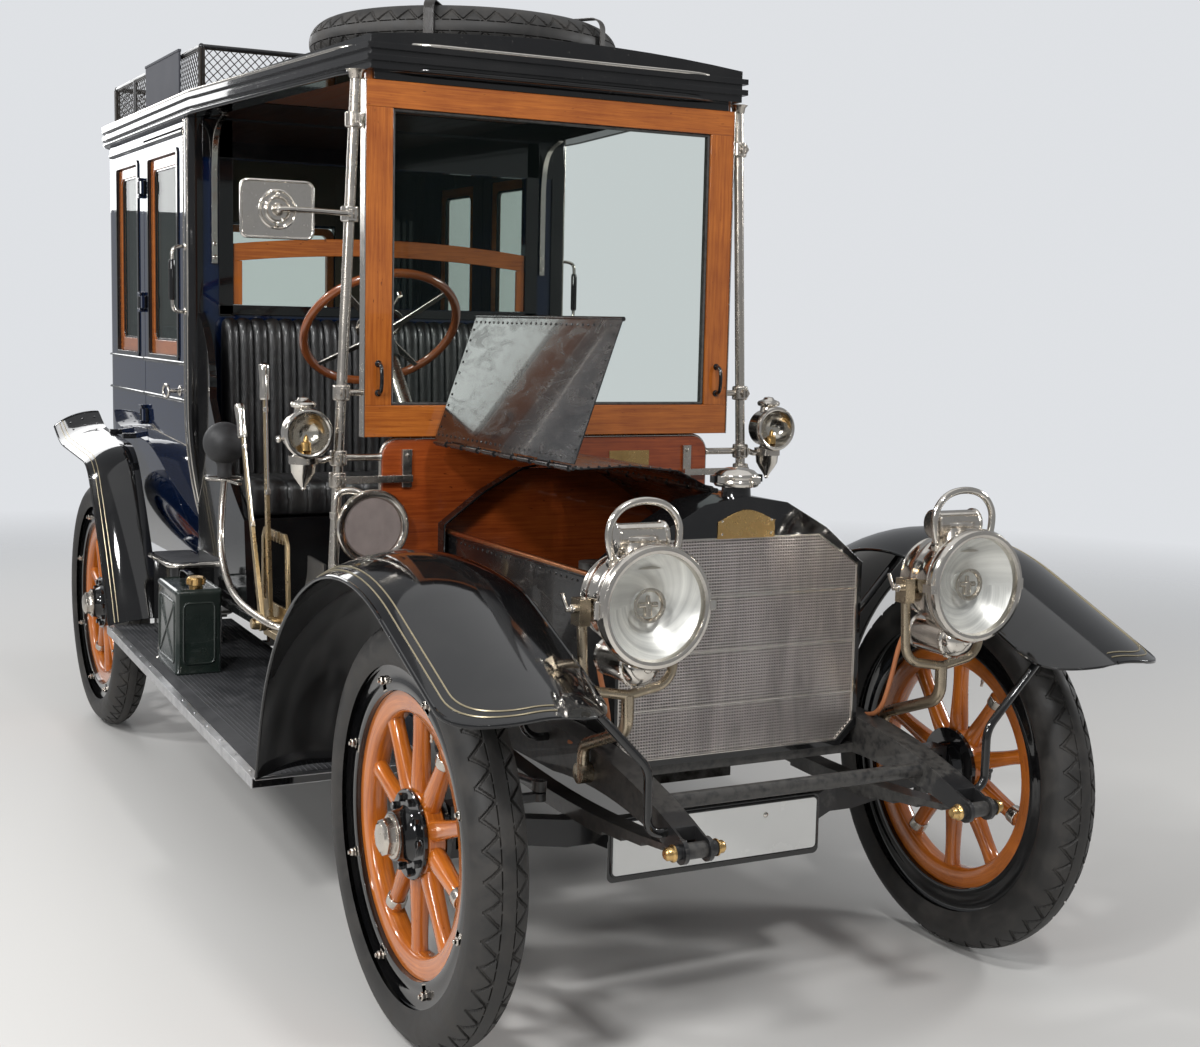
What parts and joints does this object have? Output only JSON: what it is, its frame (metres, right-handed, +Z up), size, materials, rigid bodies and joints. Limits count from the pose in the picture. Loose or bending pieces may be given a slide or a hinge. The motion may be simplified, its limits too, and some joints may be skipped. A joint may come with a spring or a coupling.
{
  "type": "town car",
  "caption": "Full-size Edwardian town car: closed rear cabin, open driver's front under the same roof, wood-spoked wheels, gas lamps and a bonnet open on one side.",
  "frame": {"origin": "on the ground under the middle of the car's overall box", "axes": "+X forward, +Y to the car's left, +Z up"},
  "size_m": [4.0375, 1.69, 2.3103],
  "materials": {
    "black_leather": "pleated",
    "black_paint": "gloss",
    "bulb_rubber": "matte",
    "glass": "clear",
    "grey_board": "painted",
    "iron": "oily",
    "mirror": "silvered",
    "navy_paint": "gloss",
    "nickel": "polished nickel",
    "plate_white": "gloss",
    "steel": "plain steel",
    "tyre_rubber": "worn",
    "varnished_wood": "varnished"
  },
  "bodies": {
    "chassis": {"frame_rails": "black_paint", "leaf_springs": "black_paint", "front_axle": "black_paint", "rear_axle": "black_paint", "engine_and_gearbox": "iron", "steering_column": "black_paint", "radiator_shell": "black_paint", "radiator_core": "nickel", "bonnet_frame": "black_paint", "dash_board": "varnished_wood", "windscreen_frame": "varnished_wood", "fixed_glass": "glass", "roof_posts": "nickel", "rear_view_mirror": "mirror", "side_lamps": "nickel", "horn": "nickel", "horn_bulb": "bulb_rubber", "hand_levers": "black_paint", "front_body": "black_paint", "seats": "black_leather", "cabin_floor": "varnished_wood", "cabin_sides": "navy_paint", "cabin_ends": "navy_paint", "roof": "black_paint", "roof_rack": "black_paint", "spare_tyre": "tyre_rubber", "wings": "black_paint", "running_boards": "grey_board", "headlamps": "nickel", "headlamp_brackets": "nickel", "fuel_can": "black_paint", "tool_box": "black_paint", "number_plate": "plate_white"},
    "knuckle_left": {"knuckle_left": "black_paint"},
    "knuckle_right": {"knuckle_right": "black_paint"},
    "tie_rod": {"tie_rod": "black_paint"},
    "drag_link": {"drag_link": "black_paint"},
    "drop_arm": {"drop_arm": "black_paint"},
    "steering_wheel": {"steering_wheel": "varnished_wood"},
    "bonnet_top_left": {"bonnet_top_left": "black_paint"},
    "bonnet_side_left": {"bonnet_side_left": "black_paint"},
    "bonnet_top_right": {"bonnet_top_right": "black_paint"},
    "bonnet_side_right": {"bonnet_side_right": "black_paint"},
    "door_left": {"door_left": "navy_paint", "door_glass_left": "glass"},
    "door_right": {"door_right": "navy_paint", "door_glass_right": "glass"},
    "wheel_front_left": {"wheel_front_left": "varnished_wood", "hub_rim_front_left": "steel", "tyre_front_left": "tyre_rubber"},
    "wheel_front_right": {"wheel_front_right": "varnished_wood", "hub_rim_front_right": "steel", "tyre_front_right": "tyre_rubber"},
    "wheel_rear_left": {"wheel_rear_left": "varnished_wood", "hub_rim_rear_left": "steel", "tyre_rear_left": "tyre_rubber"},
    "wheel_rear_right": {"wheel_rear_right": "varnished_wood", "hub_rim_rear_right": "steel", "tyre_rear_right": "tyre_rubber"}
  },
  "joints": [
    {"name": "steer_left", "type": "hinge", "parent": "chassis", "child": "knuckle_left", "pos_m": [1.4715, 0.6, 0.44], "axis": [0, 0, 1], "range_deg": [-26, 26]},
    {"name": "steer_right", "type": "hinge", "parent": "chassis", "child": "knuckle_right", "pos_m": [1.4715, -0.6, 0.44], "axis": [0, 0, 1], "range_deg": [-26, 26]},
    {"name": "tie_rod_swing", "type": "hinge", "parent": "knuckle_left", "child": "tie_rod", "pos_m": [1.3215, 0.6, 0.363], "axis": [0, 0, 1], "range_deg": [-26, 26]},
    {"name": "drag_link_swing", "type": "hinge", "parent": "knuckle_right", "child": "drag_link", "pos_m": [1.4715, -0.43, 0.51], "axis": [0, 0, 1], "range_deg": [-26, 26]},
    {"name": "drop_arm_swing", "type": "hinge", "parent": "chassis", "child": "drop_arm", "pos_m": [0.8315, -0.34, 0.565], "axis": [0, 1, 0], "range_deg": [-36, 36]},
    {"name": "steering_wheel_turn", "type": "hinge", "parent": "chassis", "child": "steering_wheel", "pos_m": [0.0115, -0.25, 1.455], "axis": [-0.6922, 0, 0.7217], "range_deg": [-260, 260]},
    {"name": "spin_front_left", "type": "hinge", "parent": "knuckle_left", "child": "wheel_front_left", "pos_m": [1.4715, 0.697, 0.44], "axis": [0, 1, 0], "continuous": true},
    {"name": "spin_front_right", "type": "hinge", "parent": "knuckle_right", "child": "wheel_front_right", "pos_m": [1.4715, -0.697, 0.44], "axis": [0, 1, 0], "continuous": true},
    {"name": "spin_rear_left", "type": "hinge", "parent": "chassis", "child": "wheel_rear_left", "pos_m": [-1.5765, 0.697, 0.44], "axis": [0, 1, 0], "continuous": true},
    {"name": "spin_rear_right", "type": "hinge", "parent": "chassis", "child": "wheel_rear_right", "pos_m": [-1.5765, -0.697, 0.44], "axis": [0, 1, 0], "continuous": true},
    {"name": "bonnet_lift_left", "type": "hinge", "parent": "chassis", "child": "bonnet_top_left", "pos_m": [1.0615, 0, 1.124], "axis": [1, 0, 0], "range_deg": [0, 75]},
    {"name": "bonnet_fold_left", "type": "hinge", "parent": "bonnet_top_left", "child": "bonnet_side_left", "pos_m": [1.0615, 0.32, 0.968], "axis": [1, 0, 0], "range_deg": [-75, 0]},
    {"name": "bonnet_lift_right", "type": "hinge", "parent": "chassis", "child": "bonnet_top_right", "pos_m": [1.0615, 0, 1.124], "axis": [-1, 0, 0], "range_deg": [0, 30]},
    {"name": "bonnet_fold_right", "type": "hinge", "parent": "bonnet_top_right", "child": "bonnet_side_right", "pos_m": [1.0615, -0.35189, 1.17791], "axis": [-1, 0, 0], "range_deg": [-120, 0]},
    {"name": "door_swing_left", "type": "hinge", "parent": "chassis", "child": "door_left", "pos_m": [-1.2255, 0.648, 1.3], "axis": [0, 0, 1], "range_deg": [0, 75]},
    {"name": "door_swing_right", "type": "hinge", "parent": "chassis", "child": "door_right", "pos_m": [-1.2255, -0.648, 1.3], "axis": [0, 0, -1], "range_deg": [0, 75]}
  ],
  "couplings": [
    {"joint": "steer_right", "follows": "steer_left", "ratio": 1},
    {"joint": "tie_rod_swing", "follows": "steer_left", "ratio": -1},
    {"joint": "drag_link_swing", "follows": "steer_left", "ratio": -1},
    {"joint": "drop_arm_swing", "follows": "steer_left", "ratio": 1.36},
    {"joint": "steering_wheel_turn", "follows": "steer_left", "ratio": 10},
    {"joint": "bonnet_fold_left", "follows": "bonnet_lift_left", "ratio": -1}
  ]
}
